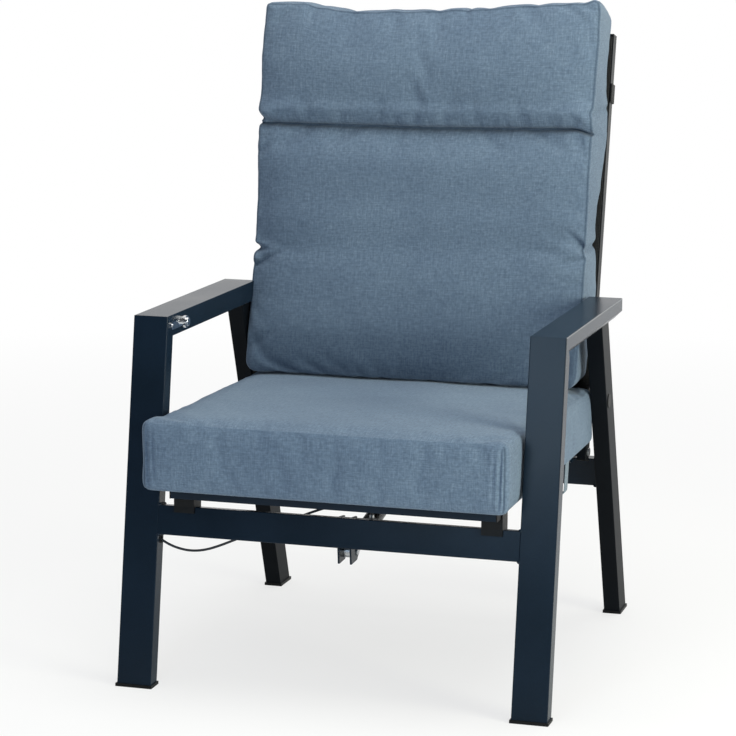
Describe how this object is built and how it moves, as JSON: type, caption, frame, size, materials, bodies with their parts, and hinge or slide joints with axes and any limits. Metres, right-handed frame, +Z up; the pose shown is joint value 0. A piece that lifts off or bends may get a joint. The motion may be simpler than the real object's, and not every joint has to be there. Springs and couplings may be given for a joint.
{
  "type": "lounge chair",
  "caption": "High-backed reclining patio lounge chair: flat tube frame, boxed seat cushion, tall back cushion, and an arm button that frees a gas spring.",
  "frame": {"origin": "on the floor, at the middle of the chair's width and depth with the back upright", "axes": "+Z up, the sitter faces -Y, +X is the sitter's left arm (right in the picture)"},
  "size_m": [0.704, 0.7478, 1.048],
  "materials": {
    "powder_coated_metal": "satin",
    "black_plastic": "matte",
    "sling_mesh": "matte",
    "cushion_fabric": "matte",
    "black_webbing": "matte",
    "chrome": "polished",
    "plain_steel": "satin",
    "black_enamel": "gloss",
    "rubber": "matte"
  },
  "bodies": {
    "frame": {"front_leg_left": "powder_coated_metal", "front_leg_right": "powder_coated_metal", "rear_leg_left": "powder_coated_metal", "rear_leg_right": "powder_coated_metal", "armrest_left": "powder_coated_metal", "armrest_right": "powder_coated_metal", "arm_end_caps": "powder_coated_metal", "foot_glides_front": "black_plastic", "foot_glides_rear": "black_plastic", "front_rail": "powder_coated_metal", "rear_rail": "powder_coated_metal", "slide_saddle_left": "black_plastic", "slide_saddle_right": "black_plastic", "saddle_screws": "plain_steel", "pivot_bolts": "plain_steel", "pivot_spacers": "black_plastic", "pivot_caps": "black_plastic", "button_housing": "chrome", "housing_screw": "chrome", "cable_grommet": "rubber", "release_cable": "rubber", "cable_ferrule": "plain_steel", "lever_pin": "plain_steel", "spring_bracket": "powder_coated_metal", "spring_pin_front": "plain_steel"},
    "back": {"back_side_tube_left": "powder_coated_metal", "back_side_tube_right": "powder_coated_metal", "back_top_tube": "powder_coated_metal", "back_lower_tube": "powder_coated_metal", "back_tube_plugs": "black_plastic", "back_sling": "sling_mesh", "back_pivot_plate_left": "powder_coated_metal", "back_pivot_plate_right": "powder_coated_metal", "hinge_bolts": "plain_steel", "hinge_washers": "black_plastic", "back_cushion": "cushion_fabric", "cushion_strap": "black_webbing"},
    "seat": {"seat_side_tube_left": "powder_coated_metal", "seat_side_tube_right": "powder_coated_metal", "seat_front_tube": "powder_coated_metal", "seat_middle_tube": "powder_coated_metal", "seat_rear_tube": "powder_coated_metal", "seat_tube_plugs": "black_plastic", "seat_sling": "sling_mesh", "seat_hinge_plate_left": "powder_coated_metal", "seat_hinge_plate_right": "powder_coated_metal", "seat_spring_bracket": "powder_coated_metal", "spring_pin_rear": "plain_steel", "seat_cushion": "cushion_fabric", "cushion_ties": "cushion_fabric"},
    "spring_rod": {"release_head": "plain_steel", "gas_spring_rod": "chrome", "gas_spring_piston": "plain_steel"},
    "spring_cylinder": {"gas_spring_cylinder": "black_enamel", "gas_spring_guide": "black_plastic", "gas_spring_rear_eye": "plain_steel"},
    "button": {"release_button": "chrome"},
    "wire": {"release_wire": "plain_steel"},
    "lever": {"release_lever": "plain_steel"}
  },
  "joints": [
    {"name": "back_recline", "type": "hinge", "parent": "frame", "child": "back", "pos_m": [0, 0.17759, 0.405], "axis": [-1, 0, 0], "range_deg": [0, 35]},
    {"name": "seat_slide", "type": "slide", "parent": "frame", "child": "seat", "axis": [0, -1, 0], "range_m": [0, 0.05875]},
    {"name": "spring_swing", "type": "hinge", "parent": "frame", "child": "spring_rod", "pos_m": [0.008, -0.26098, 0.225], "axis": [1, 0, 0], "range_deg": [0, 2.46]},
    {"name": "spring_stroke", "type": "slide", "parent": "spring_rod", "child": "spring_cylinder", "axis": [0, -0.9816, -0.1908], "range_m": [0, 0.05743]},
    {"name": "button_press", "type": "slide", "parent": "frame", "child": "button", "axis": [-1, 0, 0], "range_m": [0, 0.005], "stiffness_N_per_m": 1200, "springref_m": -0.0025},
    {"name": "wire_pull", "type": "slide", "parent": "frame", "child": "wire", "axis": [0, 0, 1], "range_m": [0, 0.00501]},
    {"name": "lever_turn", "type": "hinge", "parent": "frame", "child": "lever", "pos_m": [0.008, -0.27198, 0.249], "axis": [1, 0, 0], "range_deg": [0, 6.93]}
  ],
  "couplings": [
    {"joint": "seat_slide", "follows": "back_recline", "m_per_rad": 0.096178},
    {"joint": "spring_swing", "follows": "back_recline", "ratio": 0.070363},
    {"joint": "spring_stroke", "follows": "back_recline", "m_per_rad": 0.094016},
    {"joint": "wire_pull", "follows": "button_press", "ratio": 1},
    {"joint": "lever_turn", "follows": "button_press", "rad_per_m": 24.155}
  ]
}
